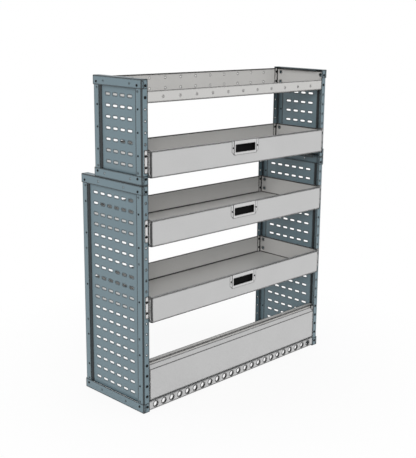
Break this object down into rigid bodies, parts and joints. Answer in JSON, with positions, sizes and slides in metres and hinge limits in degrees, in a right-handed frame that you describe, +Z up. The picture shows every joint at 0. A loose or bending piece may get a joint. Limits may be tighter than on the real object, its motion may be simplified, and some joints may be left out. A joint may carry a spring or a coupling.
{
  "type": "drop-front shelving unit",
  "caption": "Sheet-metal shelving unit with slotted end frames, trays behind bottom-hinged drop-front doors, a top shelf and a drop flap over a perforated base rail.",
  "frame": {"origin": "centre of the unit's footprint on the floor", "axes": "+X across the unit, -Y out of its front, +Z up"},
  "size_m": [1.25, 0.4544, 1.512],
  "materials": {
    "end_post": "powder coat, satin blue-grey",
    "end_rail": "powder coat, satin blue-grey",
    "infill_panel": "powder coat, satin blue-grey",
    "shelf_sheet": "powder coat, satin light grey",
    "door_sheet": "powder coat, satin light grey",
    "bracket": "powder coat, satin light grey",
    "handle_frame": "satin anodised",
    "handle_cup": "moulded, fine grain",
    "zinc_pin": "zinc plated",
    "hinge_steel": "zinc plated",
    "catch_magnet": "moulded",
    "black_screw": "black passivated"
  },
  "bodies": {
    "root": {"left_lower_front_post": "end_post", "left_lower_rear_post": "end_post", "left_lower_bottom_rail": "end_rail", "left_lower_top_rail": "end_rail", "left_lower_infill": "infill_panel", "right_lower_front_post": "end_post", "right_lower_rear_post": "end_post", "right_lower_bottom_rail": "end_rail", "right_lower_top_rail": "end_rail", "right_lower_infill": "infill_panel", "left_upper_front_post": "end_post", "left_upper_rear_post": "end_post", "left_upper_bottom_rail": "end_rail", "left_upper_top_rail": "end_rail", "left_upper_infill": "infill_panel", "right_upper_front_post": "end_post", "right_upper_rear_post": "end_post", "right_upper_bottom_rail": "end_rail", "right_upper_top_rail": "end_rail", "right_upper_infill": "infill_panel", "top_shelf_pan": "shelf_sheet", "top_shelf_left_end": "shelf_sheet", "top_shelf_right_end": "shelf_sheet", "tray_1_pan": "shelf_sheet", "tray_1_left_end": "shelf_sheet", "tray_1_right_end": "shelf_sheet", "tray_2_pan": "shelf_sheet", "tray_2_left_end": "shelf_sheet", "tray_2_right_end": "shelf_sheet", "tray_3_pan": "shelf_sheet", "tray_3_left_end": "shelf_sheet", "tray_3_right_end": "shelf_sheet", "door_1_brackets": "bracket", "door_2_brackets": "bracket", "door_3_brackets": "bracket", "pivot_pins": "zinc_pin", "door_catches": "zinc_pin", "base_rail": "door_sheet", "lintel_rail": "shelf_sheet", "flap_hinge_lower_leaf": "hinge_steel", "flap_hinge_pin": "hinge_steel", "flap_catches": "catch_magnet", "frame_screws": "black_screw", "bracket_screws": "black_screw"},
    "door_1": {"door_1_panel": "door_sheet", "door_1_handle_frame": "handle_frame", "door_1_handle_cup": "handle_cup"},
    "door_2": {"door_2_panel": "door_sheet", "door_2_handle_frame": "handle_frame", "door_2_handle_cup": "handle_cup"},
    "door_3": {"door_3_panel": "door_sheet", "door_3_handle_frame": "handle_frame", "door_3_handle_cup": "handle_cup"},
    "flap": {"flap_panel": "door_sheet", "flap_hinge_upper_leaf": "hinge_steel"}
  },
  "joints": [
    {"name": "door_1_hinge", "type": "hinge", "parent": "root", "child": "door_1", "pos_m": [0, -0.21775, 1.0965], "axis": [1, 0, 0], "range_deg": [0, 180]},
    {"name": "door_2_hinge", "type": "hinge", "parent": "root", "child": "door_2", "pos_m": [0, -0.21775, 0.7905], "axis": [1, 0, 0], "range_deg": [0, 180]},
    {"name": "door_3_hinge", "type": "hinge", "parent": "root", "child": "door_3", "pos_m": [0, -0.21775, 0.4405], "axis": [1, 0, 0], "range_deg": [0, 180]},
    {"name": "flap_hinge", "type": "hinge", "parent": "root", "child": "flap", "pos_m": [0, -0.20925, 0.0515], "axis": [1, 0, 0], "range_deg": [0, 100]}
  ]
}
